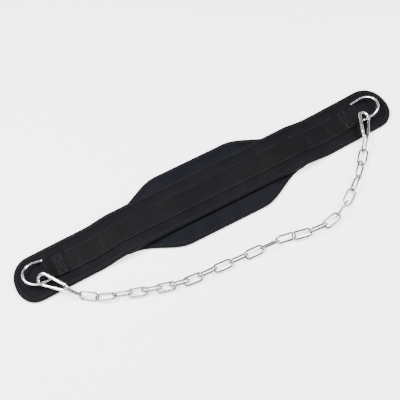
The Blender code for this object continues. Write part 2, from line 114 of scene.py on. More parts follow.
# How the padding swells and the sheets wave, in metres: a height, the run over which it comes up,
# and the size of its waves
PAD_PUFF, PAD_PUFF_RUN = 0.0011, 0.009
PAD_WAVE, PAD_WAVE_RUN, PAD_WAVE_SIZE = 0.00045, 0.012, 0.028
PAD_SWELL = 0.0015          # the most that the pad rises past its solid
BAND_PUFF, BAND_PUFF_RUN = 0.0010, 0.007
BAND_WAVE, BAND_WAVE_RUN, BAND_WAVE_SIZE = 0.00030, 0.010, 0.022
STRAP_PRESS = 0.006         # the band is pressed down this far beside the strap
PUFF_FROM, PUFF_OVER = 0.004, 0.012         # where the pad's filling starts, inside the band's edge
CLEAR_FROM, CLEAR_OVER = 0.002, 0.008       # and where the pad comes clear of the band
CLEAR_LEAST = 0.02
RING_FROM, RING_OVER, RING_FLAT = 0.004, 0.012, 0.7     # the band's filling is less past the ring
CORE_INSET = TAPE * 1.2     # how far a core's edge lies inside its rim
CORE_LIFT = TAPE * 0.9      # and its underside above the tape's
TAPE_ROLL = 0.8             # depth of the tape's fold, as a share of half its height
TAPE_INNER = TAPE * 0.8     # the tape's thickness at its inner faces
TAPE_STEP = 0.0011          # between the corners of the tape's section, on its UV map
TAPE_DROOP = 0.00045        # how far the tape's inner edge comes down
TAPE_WAVE, TAPE_WAVE_SIZE = 0.00012, 0.009
STRAP_REST, STRAP_WAVE, STRAP_WAVE_SIZE = 0.0006, 0.0007, 0.022
STRAP_SWAY, STRAP_SWAY_SIZE = 0.0004, 0.055
STRAP_FRAY, STRAP_FRAY_SIZE = 0.00012, 0.012
STRAP_DIP, STRAP_DIP_WIDTH = 0.00020, 0.0009
STRAP_FREE_FROM, STRAP_FREE_OVER = 0.45, 0.35   # shares of its half width past which it is held
STRAP_SPACING = 0.004       # between its sections along the band
LOOP_LEAD = 0.012           # the strap is down to the loop's width this far before the bar
LOOP_RETURN = 0.018         # run over which it comes back down behind the bar
FOLD_STEP = 0.006           # run over which it comes down off its folded end
ROUND_FROM, ROUND_OVER = 0.94, 0.06         # the strap's rounded edge, as shares of its half width

# Stitches, in metres
STITCH_PITCH = 0.0036
STITCH_LENGTH = 0.0027
STITCH_RADIUS = 0.00028
TAPE_SEAM = 0.0018          # how far the tape's stitches lie inside its edge
TAPE_SEAM_WIDTH = 0.0011
STRAP_SEAM = 0.0032         # and the strap's
PUCKER = 0.00016
SUNK = 0.00010              # how far the strap's stitches sink in
TACKS = (-0.266, -0.219, 0.218, 0.261)      # where rows of stitches cross the strap
TACK_ROWS = (-0.004, 0.0, 0.004)
TACK_ENDS = (0.008, -0.019)
TACK_HOLD = 0.009           # how far along the strap a tack holds it down
SEAM_STOP = 0.008           # the long seams end this far before the folded end
BOX_FROM, BOX_TO = 0.002, 0.0195            # the box stitch, past the folded end and before the bar
BOX_INSET = 0.0006

# Pitches of the weaves, in metres
KNIT_PITCH = 0.0011
RIB_PITCH = 0.0010
EDGE_THREAD_PITCH = 0.0009
TWILL_PITCH = 0.0017
HERRINGBONE = 0.012
YARN_PITCH = 0.0012

# Soft patches and grain, in patches to the metre
TONE_PATCHES, TONE_SPREAD = 11.0, 2.4       # cool and warm
FADE_PATCHES, FADE_SPREAD, FADE_SHARE = 26.0, 2.2, 0.55
KNIT_GRAIN = 2600.0
TAPE_GRAIN = 1900.0
TAPE_PATCHES = 40.0
STRAP_GRAIN = 1500.0
THREAD_TWIST = 3200.0
METAL_GRAIN = 2400.0
SCRATCH_DRAWN = (2600.0, 260.0, 900.0)
SCRATCH_ABOVE = 0.66

# Colours, dark and light or new and worn
PAD_CLOTH = (0.0009, 0.0011, 0.0024), (0.0044, 0.0050, 0.0092)
BAND_CLOTH = (0.0008, 0.0009, 0.0015), (0.0038, 0.0042, 0.0062)
TAPE_CLOTH = (0.0008, 0.0009, 0.0014), (0.0036, 0.0038, 0.0052)
STRAP_CLOTH = (0.0007, 0.0007, 0.0011), (0.0034, 0.0034, 0.0047)
THREAD = (0.0060, 0.0060, 0.0080), (0.0220, 0.0220, 0.0270)
NICKEL = (0.90, 0.90, 0.92), (0.62, 0.62, 0.63)
ZINC = (0.25, 0.26, 0.28), (0.115, 0.12, 0.135)
FLOOR_COLOUR = (0.95, 0.95, 0.955)
WHITE = (1.0, 1.0, 1.0, 1.0)
WARMER = (1.22, 1.02, 0.84)
CLOTH_GLOSS = 0.09
FLOOR_GLOW = 1.2

# The studio: each light's name, place, size and power, and the photograph's camera
LIGHTS = (("key", (-0.8, 0.5, 1.7), (1.1, 1.1), 118.0),
          ("fill", (1.3, -0.7, 1.3), (0.9, 0.9), 78.0),
          ("low", (-0.9, -1.5, 0.9), (0.8, 0.4), 16.0))
SKY = 0.14
FLOOR_HALF = 4.0
FLOOR_DROP = 0.0004
CAMERA_PITCH = math.radians(54.5)
CAMERA_YAW = math.radians(-14.8)
CAMERA_ROLL = math.radians(-14.0)
CAMERA_AIM = Vector((-0.02081, -0.00634, 0))
CAMERA_DISTANCE = 1.489
FOCAL_PIXELS, PHOTO_PIXELS, SENSOR = 800.2, 400, 36.0
CLIP_START = 0.05

UP = Vector((0, 0, 1))
QUARTER, TURN = math.pi / 2, 2 * math.pi
MERGE = 0.000002            # corners this near become one
METRES = "metres"           # the UV map that measures a piece along its own length and width


def smooth(t):
    """Goes from 0 to 1 with a level start and end."""
    t = min(max(t, 0.0), 1.0)
    return t * t * (3 - 2 * t)


def drift(x):
    """How far the belt's middle line lies off the X axis at x."""
    past = max(abs(x) - STRAIGHT_HALF, 0.0) / (BAND_LENGTH / 2 - STRAIGHT_HALF)
    return (DRIFT_LEFT if x < 0 else DRIFT_RIGHT) * past ** 2


def laid(x, y, z):
    """A point of the straight belt, where it lies."""
    return Vector((x, y + drift(x), z))


def set_at(place, *axes):
    """Moves the origin to a place and turns X, Y and Z to these axes."""
    return Matrix.Translation(place) @ Matrix(axes).transposed().to_4x4()


def pad_floor(x):
    """Height of the pad's underside, which lies flat."""
    return 0.0


def band_floor(x):
    """Height of the band's underside, which climbs on the pad."""
    return BAND_RISE * (1 - smooth((abs(x) - (PAD_END - RAMP_LEAD)) / RAMP_LENGTH))


def band_half_width(x):
    """Half the band's width at x, round at the tips."""
    into = (abs(x) - (BAND_LENGTH / 2 - TIP_LENGTH)) / TIP_LENGTH
    if into <= 0:
        return BAND_WIDTH / 2
    return BAND_WIDTH / 2 * (1 - min(into, 1.0) ** TIP_POWER) ** (1 / TIP_POWER)


def pad_half_width(x):
    """Half the back pad's width at x."""
    along = abs(x)
    neck_at = PAD_FULL + PAD_TAPER
    if along <= neck_at:
        return PAD_NECK + (PAD_WIDTH / 2 - PAD_NECK) * smooth((neck_at - along) / PAD_TAPER)
    into = min(along - neck_at, PAD_CORNER)
    return PAD_NECK - PAD_CORNER + math.sqrt(max(PAD_CORNER ** 2 - into ** 2, 0.0))


def ruffle(x, y, size, seed):
    """Soft unevenness from -1 to 1, with waves of about that size."""
    return noise.noise(Vector((x / size, y / size, seed)))


def pad_top(x, y):
    """The pad's upper face: sewn down at its rim, filled inside, pressed flat under the band."""
    inside = min(pad_half_width(x) - abs(y), PAD_END - abs(x)) - TAPE_WIDTH
    beside_band = abs(y) - BAND_WIDTH / 2
    rise = smooth(inside / (CROWN_RUN - CROWN_START))
    puff = (PAD_PUFF * smooth(inside / PAD_PUFF_RUN)
            * smooth((beside_band + PUFF_FROM) / PUFF_OVER))
    clear = smooth((beside_band + CLEAR_FROM) / CLEAR_OVER)
    wave = PAD_WAVE * ruffle(x, y, PAD_WAVE_SIZE, seed=1.7) * smooth(inside / PAD_WAVE_RUN) * clear
    top = TAPE + GAP + PAD_RIM_CORE + (PAD_CORE - PAD_RIM_CORE) * rise
    most = PAD_TOP if clear < CLEAR_LEAST else PAD_TOP + PAD_SWELL
    return min(top + puff + wave, most)


def band_top(x, y):
    """The band's upper face: filled between its tape and the strap, flat under the strap."""
    inside = min(band_half_width(x) - abs(y), BAND_LENGTH / 2 - abs(x)) - TAPE_WIDTH
    free = 1.0
    if abs(x) < BAR_REACH:
        free = 1 - smooth((STRAP_WIDTH / 2 + STRAP_PRESS - abs(y)) / STRAP_PRESS)
    near_ring = smooth((abs(x) - BAR_REACH + RING_FROM) / RING_OVER)
    puff = BAND_PUFF * smooth(inside / BAND_PUFF_RUN) * free * (1 - RING_FLAT * near_ring)
    wave = (BAND_WAVE * ruffle(x, y, BAND_WAVE_SIZE, seed=4.2)
            * smooth(inside / BAND_WAVE_RUN) * free)
    return band_floor(x) + CORE_TOP + puff + wave


class Value:
    """A shader socket that does maths."""

    def __init__(self, nodes, socket):
        self.nodes = nodes
        self.socket = socket

    def _maths(self, operation, first, second=None):
        inputs = {0: first} if second is None else {0: first, 1: second}
        return self.nodes.add("ShaderNodeMath", {"operation": operation}, inputs)

    def __add__(self, other):
        return self._maths("ADD", self, other)

    __radd__ = __add__

    def __sub__(self, other):
        return self._maths("SUBTRACT", self, other)

    def __rsub__(self, other):
        return self._maths("SUBTRACT", other, self)

    def __mul__(self, other):
        return self._maths("MULTIPLY", self, other)

    __rmul__ = __mul__

    def wave(self):
        """Sine, brought to 0 to 1."""
        return self._maths("SINE", self) * 0.5 + 0.5

    def spread(self, share):
        """Middling values pushed apart, about a half."""
        return (self - 0.5) * share + 0.5

    def least(self, other):
        return self._maths("MINIMUM", self, other)

    def most(self, other):
        return self._maths("MAXIMUM", self, other)

    def above(self, limit):
        return self._maths("GREATER_THAN", self, limit)


class Nodes:
    """Adds nodes to one material."""

    def __init__(self, name, colour, roughness, metallic=0.0, gloss=0.5):
        self.material = bpy.data.materials.new(name)
        self.material.use_nodes = True
        self.tree = self.material.node_tree
        self.shader = self.tree.nodes["Principled BSDF"]
        self.shader.inputs["Base Color"].default_value = (*colour, 1.0)
        self.shader.inputs["Roughness"].default_value = roughness
        self.shader.inputs["Metallic"].default_value = metallic
        self.shader.inputs["Specular IOR Level"].default_value = gloss

    def put(self, socket, value):
        if isinstance(value, Value):
            self.tree.links.new(value.socket, socket)
        else:
            socket.default_value = value

    def add(self, kind, settings=None, inputs=None, output=0):
        node = self.tree.nodes.new(kind)
        for key, value in (settings or {}).items():
            setattr(node, key, value)
        for key, value in (inputs or {}).items():
            self.put(node.inputs[key], value)
        return Value(self, node.outputs[output])

    def place(self):
        """Object coordinates, in metres."""
        return self.add("ShaderNodeTexCoord", output="Object")

    def weave_place(self):
        """The piece's own lengthwise and crosswise coordinates, in metres."""
        place = self.add("ShaderNodeUVMap", {"uv_map": METRES})
        node = self.add("ShaderNodeSeparateXYZ", None, {0: place}).socket.node
        return Value(self, node.outputs[0]), Value(self, node.outputs[1])

    def cloud(self, place, scale, detail):
        """Soft noise about 0.5, with this many patches to the metre."""
        return self.add("ShaderNodeTexNoise", None,
                        {"Vector": place, "Scale": scale, "Detail": detail, "Roughness": 0.55})

    def mix(self, share, first, second):
        """Two colours mixed."""
        first, second = (colour if isinstance(colour, Value) else (*colour, 1.0)
                         for colour in (first, second))
        return self.add("ShaderNodeMix", {"data_type": "RGBA"},
                        {0: share, 6: first, 7: second}, output=2)

    def faded(self, share, dark, light):
        """A dark cloth colour, cool to warm and full to faded in wide soft patches."""
        warm = tuple(part * more for part, more in zip(light, WARMER))
        tone = self.cloud(self.place(), TONE_PATCHES, 2.0).spread(TONE_SPREAD)
        patch = self.cloud(self.place(), FADE_PATCHES, 4.0).spread(FADE_SPREAD)
        return self.mix((patch * FADE_SHARE + share).least(1.0).most(0.0), dark,
                        self.mix(tone, light, warm))

    def finish(self, colour, roughness, height, depth, strength):
        """Links what varies over the surface to the shader."""
        bump = self.add("ShaderNodeBump", None,
                        {"Height": height, "Distance": depth, "Strength": strength})
        for socket, value in (("Base Color", colour), ("Roughness", roughness), ("Normal", bump)):
            self.put(self.shader.inputs[socket], value)
        return self.material


def fabric_face(name, dark, light):
    """Fine knitted face over foam: small offset loops, with soft patches of wear."""
    n = Nodes(name, dark, roughness=0.8, gloss=CLOTH_GLOSS)
    along, across = n.weave_place()
    row = along * (TURN / KNIT_PITCH)
    column = across * (TURN / KNIT_PITCH)
    knit = (row + (column * 0.5).wave() * 2.2).wave() * column.wave()
    grain = n.cloud(n.place(), KNIT_GRAIN, 2.0)
    colour = n.faded(grain * 0.25 + knit * 0.30, dark, light)
    height = knit * 0.7 + grain * 0.5
    return n.finish(colour, 0.92 - grain * 0.22, height, depth=0.00016, strength=0.8)


def ribbed_tape(name, dark, light):
    """Woven binding tape: ribs across its length, with a fine edge thread."""
    n = Nodes(name, dark, roughness=0.7, gloss=CLOTH_GLOSS)
    along, across = n.weave_place()
    rib = (along * (TURN / RIB_PITCH)).wave()
    shift = (along * (math.pi / RIB_PITCH)).wave() * math.pi
    thread = (across * (TURN / EDGE_THREAD_PITCH) + shift).wave()
    grain = n.cloud(n.place(), TAPE_GRAIN, 2.0)
    patch = n.cloud(n.place(), TAPE_PATCHES, 3.0)
    colour = n.mix((rib * 0.35 + patch * 0.4 + grain * 0.3).least(1.0), dark, light)
    height = rib * 0.75 + thread * 0.3 + grain * 0.25
    return n.finish(colour, 0.80 - rib * 0.18, height, depth=0.00018, strength=0.8)


def woven_strap(name, dark, light):
    """Nylon webbing: a close herringbone of flat yarns with a faint gloss."""
    n = Nodes(name, dark, roughness=0.55, gloss=CLOTH_GLOSS)
    along, across = n.weave_place()
    zigzag = (across * (TURN / HERRINGBONE)).wave()
    twill = (along * (TURN / TWILL_PITCH) + zigzag * 6.0).wave()
    yarn = (across * (TURN / YARN_PITCH)).wave()
    grain = n.cloud(n.place(), STRAP_GRAIN, 2.0)
    colour = n.faded(twill * 0.25 + yarn * 0.10 + grain * 0.15, dark, light)
    height = twill * 0.7 + yarn * 0.4 + grain * 0.15
    return n.finish(colour, 0.82 - twill * 0.16, height, depth=0.00022, strength=0.9)


def thread_finish(name, dark, light):
    """Twisted sewing thread."""
    n = Nodes(name, dark, roughness=0.6)
    twist = n.cloud(n.place(), THREAD_TWIST, 1.0)
    colour = n.mix(twist, dark, light)
    return n.finish(colour, 0.72 - twist * 0.2, twist, depth=0.00005, strength=0.6)


def bright_metal(name, new, worn, roughness, grime, patches):
    """Plated steel: soft mottling, hairline scratches and a little tarnish."""
    n = Nodes(name, new, roughness, metallic=1.0)
    place = n.place()
    mottle = n.cloud(place, patches, 4.0)
    fine = n.cloud(place, METAL_GRAIN, 2.0)
    drawn = n.add("ShaderNodeMapping", None, {"Vector": place, "Scale": SCRATCH_DRAWN})
    scratch = n.cloud(drawn, 1.0, 2.0).above(SCRATCH_ABOVE)
    colour = n.mix((mottle * grime * 1.6 + scratch * 0.12).least(1.0), new, worn)
    rough = (mottle * 0.10 + fine * 0.04 + scratch * 0.12) + (roughness - 0.05)
    height = mottle * 0.6 + scratch * 0.15
    return n.finish(colour, rough, height, depth=0.00006, strength=0.35)


def closed_mesh(bm, name):
    """A mesh whose faces all point outwards."""
    bmesh.ops.recalc_face_normals(bm, faces=bm.faces)
    mesh = bpy.data.meshes.new(name)
    bm.to_mesh(mesh)
    bm.free()
    return mesh


def in_scene(name, data):
    """A new object in the scene that holds this mesh, curve, light or camera."""
    thing = bpy.data.objects.new(name, data)
    bpy.context.scene.collection.objects.link(thing)
    return thing


def show(name, mesh, finish, body="belt", slot=None, nodes=(), angle=40.0):
    """Puts a piece in the scene on its body, in place of its solids."""
    piece = in_scene(name, mesh)
    mesh.materials.append(finish)
    mesh.shade_smooth()
    mesh.set_sharp_from_angle(angle=math.radians(angle))
    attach(piece, body)
    if nodes:
        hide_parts(*nodes)
    return piece


def measured_grid(along, across, measure):
    """A flat grid with its UV map in metres, and each corner's place (i, j) in it."""
    bm = bmesh.new()
    bmesh.ops.create_grid(bm, x_segments=along, y_segments=across, size=1.0)
    layer = bm.loops.layers.uv.new(METRES)
    spots = {}
    for corner in bm.verts:
        i = round((corner.co.x + 1) / 2 * along)
        j = round((corner.co.y + 1) / 2 * across)
        spots[corner] = (i, j)
    for face in bm.faces:
        for loop in face.loops:
            loop[layer].uv = measure(*spots[loop.vert])
    return bm, spots


def skin(name, along, around, place, measure, closed):
    """A grid wrapped round a section and led along a path; place gives the corner at (i, j)."""
    bm, spots = measured_grid(along, around, measure)
    for corner, (i, j) in spots.items():
        corner.co = place(i % along if closed else i, j % around)
    bmesh.ops.remove_doubles(bm, verts=bm.verts, dist=MERGE)
    if not closed:
        bmesh.ops.holes_fill(bm, edges=[edge for edge in bm.edges if edge.is_boundary])
    return closed_mesh(bm, name)


def stations_along(edge, count, tail):
    """Places along X from left to right: even up to the edge, then the tail's round each end."""
    even = [-edge + 2 * edge * step / count for step in range(count + 1)]
    return [-x for x in reversed(tail)] + even + tail


def even_rim(stations, half_width, end_reach, spacing):
    """The outline as evenly spaced points, far side first, left to right, and its length."""
    far = [Vector((x, half_width(x))) for x in stations]
    near = [Vector((x, -half_width(x))) for x in reversed(stations)]
    loop = far + [Vector((end_reach, 0.0))] + near + [Vector((-end_reach, 0.0))]
    after = loop[1:] + loop[:1]
    lengths = [(end - start).length for start, end in zip(loop, after)]
    total = sum(lengths)
    count = round(total / spacing)
    points = []
    k, done = 0, 0.0
    for step in range(count):
        target = total * step / count
        while done + lengths[k] < target:
            done += lengths[k]
            k += 1
        points.append(loop[k].lerp(after[k], (target - done) / lengths[k]))
    return points, total


def inward(rim):
    """The direction square to the outline, inwards, at each of its points."""
    ways = []
    for k in range(len(rim)):
        way = (rim[(k + 2) % len(rim)] - rim[k - 2]).normalized()
        ways.append(Vector((way.y, -way.x)))
    return ways


def folded_tape(name, rim, total, floor, thick):
    """The tape folded round a rim: rolled at the fold, drawn in between its stitches."""
    ways = inward(rim)
    section = [("fold", math.radians(angle)) for angle in range(-90, 91, 30)]
    section += [("top", share) for share in (0.3, 0.62, 0.78, 0.9, 1.0)]
    section += [("top_in", share) for share in (1.0, 0.6, 0.2)]
    section += [("bottom_in", share) for share in (0.2, 0.6, 1.0)]
    section += [("bottom", share) for share in (1.0, 0.9, 0.62, 0.3)]
    spacing = total / len(rim)

    def place(k, j):
        kind, value = section[j]
        low = floor(rim[k].x)
        high = low + thick
        roll = (high - low) / 2
        if kind == "fold":
            at = rim[k] + ways[k] * (roll * TAPE_ROLL * (1 - math.cos(value)))
            return laid(at.x, at.y, (low + high) / 2 + roll * math.sin(value))
        depth = roll * TAPE_ROLL + (TAPE_WIDTH - roll * TAPE_ROLL) * value
        at = rim[k] + ways[k] * depth
        droop = TAPE_DROOP * smooth((value - 0.5) / 0.5)
        if kind == "top":
            between = 1.6 + math.cos(TURN * k * spacing / STITCH_PITCH)
            seam = math.exp(-((depth - TAPE_WIDTH + TAPE_SEAM) / TAPE_SEAM_WIDTH) ** 2)
            wave = TAPE_WAVE * ruffle(at.x, at.y, TAPE_WAVE_SIZE, seed=8.0)
            z = high - PUCKER * between * seam - droop + wave
        elif kind == "top_in":
            z = high - TAPE_INNER - droop
        elif kind == "bottom_in":
            z = low + TAPE_INNER
        else:
            z = low
        return laid(at.x, at.y, z)

    def measure(k, j):
        return (k * spacing, j * TAPE_STEP)

    return skin(name, len(rim), len(section), place, measure, closed=True)


def padded_slab(name, stations, half_width, end_reach, columns, floor, top):
    """A filled slab inside its rim tape, its upper face shaped by a function of place."""
    def spot(i, j):
        x = math.copysign(min(abs(stations[i]), end_reach - CORE_INSET), stations[i])
        half = max(half_width(x) - CORE_INSET, 0.0)
        return x, half * (2 * j / columns - 1)

    bm, spots = measured_grid(len(stations) - 1, columns, spot)
    for corner, (i, j) in spots.items():
        x, y = spot(i, j)
        corner.co = laid(x, y, top(x, y))
    for made in bmesh.ops.extrude_face_region(bm, geom=list(bm.faces))["geom"]:
        if isinstance(made, bmesh.types.BMVert):
            made.co.z = floor(made.co.x) + CORE_LIFT
    bmesh.ops.remove_doubles(bm, verts=bm.verts, dist=MERGE)
    return closed_mesh(bm, name)


def add_stitch(bm, start, end):
    """One stitch: a short thread lying from start to end, sunk at both its ends."""
    way = (end - start).normalized()
    side = way.cross(UP).normalized()
    size = Matrix.Diagonal(((end - start).length / 2, STITCH_RADIUS, STITCH_RADIUS, 1.0))
    bmesh.ops.create_uvsphere(bm, u_segments=6, v_segments=5, radius=1.0,
                              matrix=set_at((start + end) / 2, way, side, side.cross(way)) @ size)


def strap_seam(name, lines, finish):
    """Stitches along lines of points."""
    bm = bmesh.new()
    for line in lines:
        along = 0.0
        place = 0.0
        for start, end in zip(line, line[1:]):
            length = (end - start).length
            way = (end - start).normalized()
            while place + STITCH_LENGTH <= along + length:
                if place >= along:
                    first = start + way * (place - along)
                    add_stitch(bm, first, first + way * STITCH_LENGTH)
                    place += STITCH_PITCH
                else:
                    place = along
            along += length
    show(name, closed_mesh(bm, name), finish, slot="webbing")


def rim_seam(name, rim, height, finish):
    """Stitches all along the tape's inner edge."""
    bm = bmesh.new()
    line = [point + way * (TAPE_WIDTH - TAPE_SEAM) for point, way in zip(rim, inward(rim))]
    for start, end in zip(line, line[1:] + line[:1]):
        middle = (start + end) / 2
        half = (end - start).normalized() * STITCH_LENGTH / 2
        add_stitch(bm, *(laid(at.x, at.y, height(at.x)) for at in (middle - half, middle + half)))
    show(name, closed_mesh(bm, name), finish, slot="tape")


def strap_path():
    """The strap's middle line in the XZ plane, from fold to fold: x, z, share of the loop."""
    mid = STRAP_BASE - GAP + STRAP_THICK / 2
    over = mid + STRAP_THICK + GAP / 2
    bend = (RING_WIRE + LOOP_SLACK) / 2 + GAP + STRAP_THICK / 2
    top = STRAP_BASE + STRAP_THICK / 2 + 2 * bend
    half = [(FOLD_END, mid, 0.0), (BAR_REACH - 0.022, mid, 0.0),
            (BAR_REACH - LOOP_LEAD, mid + GAP * 0.5, 0.0),
            (BAR_REACH - LOOP_LEAD / 2, mid + GAP, 0.0)]
    for degrees in range(-90, 91, 12):
        angle = math.radians(degrees)
        half.append((BAR_REACH + bend * math.cos(angle),
                     mid + GAP + bend + bend * math.sin(angle), (degrees + 90) / 180))
    for step in range(1, 13):
        back = step / 12
        half.append((BAR_REACH - LOOP_RETURN * back, top + (over - top) * smooth(back),
                     1 - smooth(back)))
    half += [(FOLD_END + FOLD_STEP, over, 0.0), (FOLD_END + 0.001, over - 0.0001, 0.0),
             (FOLD_END - 0.0015, over * 0.7 + mid * 0.3, 0.0),
             (FOLD_END - 0.0035, over * 0.25 + mid * 0.75, 0.0), (FOLD_END - FOLD_STEP, mid, 0.0)]
    limit = half[-1][0] - 0.003
    count = int(2 * limit / STRAP_SPACING)
    middle = []
    for step in range(count + 1):
        x = limit - 2 * limit * step / count
        middle.append((x, mid + band_floor(x), 0.0))
    return half + middle + [(-x, z, share) for x, z, share in reversed(half)]


def strap_mesh():
    """The strap with rounded edges, drawn down along its two seams, and its length."""
    path = strap_path()
    travelled = [0.0]
    for before, after in zip(path, path[1:]):
        travelled.append(travelled[-1] + math.hypot(after[0] - before[0], after[1] - before[1]))
    across = (-1.0, -0.985, -0.94, -0.87, -0.8, -0.5, -0.2, 0.2, 0.5, 0.8, 0.87, 0.94, 0.985, 1.0)
    around = 2 * len(across)

    def place(i, j):
        x, z, share = path[i]
        before = path[max(i - 1, 0)]
        after = path[min(i + 1, len(path) - 1)]
        way = Vector((after[0] - before[0], after[1] - before[1])).normalized()
        upper = j < len(across)
        side = across[j] if upper else across[around - 1 - j]
        near_bar = smooth((abs(x) - FOLD_END) / (FOLD_BACK - LOOP_LEAD))
        half = (STRAP_WIDTH + (LOOP_WIDTH - STRAP_WIDTH) * near_bar) / 2
        half += STRAP_FRAY * ruffle(x, z, STRAP_FRAY_SIZE, seed=3.0)
        y = half * side
        past_edge = max(abs(side) - ROUND_FROM, 0.0)
        round_edge = math.sqrt(max(1 - past_edge ** 2 / ROUND_OVER ** 2, 0.0))
        out = (STRAP_THICK / 2) * round_edge * (1 if upper else -1)
        if upper and -0.5 < way.y < 0.5:
            out -= STRAP_DIP * math.exp(-((abs(y) - (half - STRAP_SEAM)) / STRAP_DIP_WIDTH) ** 2)
        lift = -y * math.sin(RING_ROLL) * share
        if abs(x) < FOLD_END - FOLD_STEP:
            free = 1 - smooth((abs(y) / half - STRAP_FREE_FROM) / STRAP_FREE_OVER)
            held = max(math.exp(-((x - tack) / TACK_HOLD) ** 2) for tack in TACKS)
            wave = (STRAP_REST + STRAP_WAVE * ruffle(x, y * 0.5, STRAP_WAVE_SIZE, seed=6.1)
                    + STRAP_SWAY * ruffle(x, y, STRAP_SWAY_SIZE, seed=2.3))
            lift += free * (1 - held) * max(wave, 0.0)
        return laid(x - way.y * out, y, z + way.x * out + lift)

    def measure(i, j):
        side = j if j < len(across) else around - 1 - j
        return (travelled[i], (across[max(side, 0)] + 1) * STRAP_WIDTH / 2)

    strip = skin("webbing_strap", len(path) - 1, around, place, measure, closed=False)
    return strip, travelled[-1]


def as_shown(guide):
    """The shape that an object shows once its curve or modifiers have worked."""
    bpy.context.view_layer.update()
    shown = guide.evaluated_get(bpy.context.evaluated_depsgraph_get())
    mesh = bpy.data.meshes.new_from_object(shown)
    bm = bmesh.new()
    bm.from_mesh(mesh)
    bpy.data.meshes.remove(mesh)
    return bm


def bent_wire(points, wire, sides, closed):
    """A round wire along a list of points."""
    curve = bpy.data.curves.new("wire", "CURVE")
    curve.dimensions = "3D"
    curve.bevel_depth = wire / 2
    curve.bevel_resolution = (sides - 4) // 2
    curve.use_fill_caps = not closed
    run = curve.splines.new("POLY")
    run.points.add(len(points) - 1)
    for spot, point in zip(run.points, points):
        spot.co = (*point, 1.0)
    run.use_cyclic_u = closed
    guide = in_scene("wire", curve)
    bm = as_shown(guide)
    bpy.data.objects.remove(guide)
    bpy.data.curves.remove(curve)
    bmesh.ops.remove_doubles(bm, verts=bm.verts, dist=MERGE)
    return bm


def arc(centre, radius, start, end, count):
    """Points on an arc in the XY plane, angles in radians."""
    points = []
    for step in range(count + 1):
        angle = start + (end - start) * step / count
        points.append(Vector((centre[0] + radius * math.cos(angle),
                              centre[1] + radius * math.sin(angle), 0.0)))
    return points


def box_part(low, high):
    """A box between two corners."""
    bm = bmesh.new()
    bmesh.ops.create_cube(bm, size=1.0)
    low, high = Vector(low), Vector(high)
    bmesh.ops.scale(bm, vec=high - low, verts=bm.verts)
    bmesh.ops.translate(bm, vec=(low + high) / 2, verts=bm.verts)
    return bm


def round_part(radius, length, sides, place, edge=0.0):
    """A cylinder about the origin with softened edges, moved by a matrix."""
    bm = bmesh.new()
    bmesh.ops.create_cone(bm, cap_ends=True, segments=sides,
                          radius1=radius, radius2=radius, depth=length)
    if edge:
        rims = [e for e in bm.edges if abs(e.verts[0].co.z - e.verts[1].co.z) < MERGE]
        bmesh.ops.bevel(bm, geom=rims, offset=edge, segments=3, affect="EDGES", profile=0.5)
    bm.transform(place)
    return bm


def joined(base, steps):
    """A shape with others added to it or cut from it, in order."""
    shape = in_scene("base", closed_mesh(base, "base"))
    spares = [shape]
    for operation, part in steps:
        tool = in_scene("tool", closed_mesh(part, "tool"))
        cut = shape.modifiers.new(operation, "BOOLEAN")
        cut.operation = operation
        cut.object = tool
        spares.append(tool)
    bm = as_shown(shape)
    for spare in spares:
        mesh = spare.data
        bpy.data.objects.remove(spare)
        bpy.data.meshes.remove(mesh)
    return bm


def hook_layout():
    """The hook in its own plane, with X from its wide bend to its narrow one.

    Gives the bends' distance, the angle where the straight sides leave them, the direction of
    the gate's side and the place of the gate's rivet on it.
    """
    span = HOOK_LENGTH - HOOK_WIRE - HOOK_WIDE - HOOK_NARROW
    lean = math.asin((HOOK_WIDE - HOOK_NARROW) / span)
    side = QUARTER - lean
    along = Vector((math.cos(lean), -math.sin(lean), 0.0))
    narrow_touch = Vector((span + HOOK_NARROW * math.cos(side), HOOK_NARROW * math.sin(side), 0.0))
    return span, side, along, narrow_touch - along * PIVOT_RISE


def rivet_place():
    """The gate's rivet in the hook, with X along the gate's side."""
    _, _, along, pivot = hook_layout()
    return set_at(pivot, along, Vector((-along.y, along.x, 0.0)), UP)


def hook_shape():
    """The bent wire from its nose round to the gate's tang, with the tang and its eye."""
    span, side, along, pivot = hook_layout()
    wide = arc((0, 0), HOOK_WIDE, side, TURN - side, count=48)
    narrow = arc((span, 0), HOOK_NARROW, -side, side, count=28)
    nose = wide[0] + along * NOSE_STRAIGHT
    shoulder = TANG_WIDTH / 2 + RIVET_CLEAR + GAP
    route = [nose] + wide + narrow + [pivot + along * shoulder]
    wire = bent_wire(route, HOOK_WIRE, sides=20, closed=False)
    half = TANG_WIDTH / 2
    tang = box_part((0, -half, -TANG_THICK / 2), (shoulder + TANG_SET, half, TANG_THICK / 2))
    tang.transform(rivet_place())
    tip = round_part(half, TANG_THICK, sides=24, place=rivet_place())
    eye = round_part(RIVET_RADIUS + RIVET_CLEAR, TANG_THICK * 3, sides=20, place=rivet_place())
    return joined(wire, [("UNION", tang), ("UNION", tip), ("DIFFERENCE", eye)])


def gate_shape():
    """The gate about its rivet: a bar slotted for the tang, with softened ends and rivet heads."""
    span, _, along, _ = hook_layout()
    length = span * along.x - PIVOT_RISE - NOSE_STRAIGHT - GATE_CLEAR
    middle = Matrix.Translation(((GATE_HEEL - length) / 2, 0, 0))
    bar = round_part(HOOK_WIRE / 2, length + GATE_HEEL, sides=28, edge=GATE_EDGE,
                     place=middle @ Matrix.Rotation(QUARTER, 4, "Y"))
    slot_half = TANG_THICK / 2 + GAP
    slot = box_part((-TANG_WIDTH / 2 - RIVET_CLEAR - SLOT_SPARE, -HOOK_WIRE, -slot_half),
                    (GATE_HEEL + HOOK_WIRE, HOOK_WIRE, slot_half))
    rivet = round_part(RIVET_RADIUS, RIVET_LENGTH, sides=20, edge=RIVET_EDGE,
                       place=Matrix.Identity(4))
    return joined(bar, [("DIFFERENCE", slot), ("UNION", rivet)])


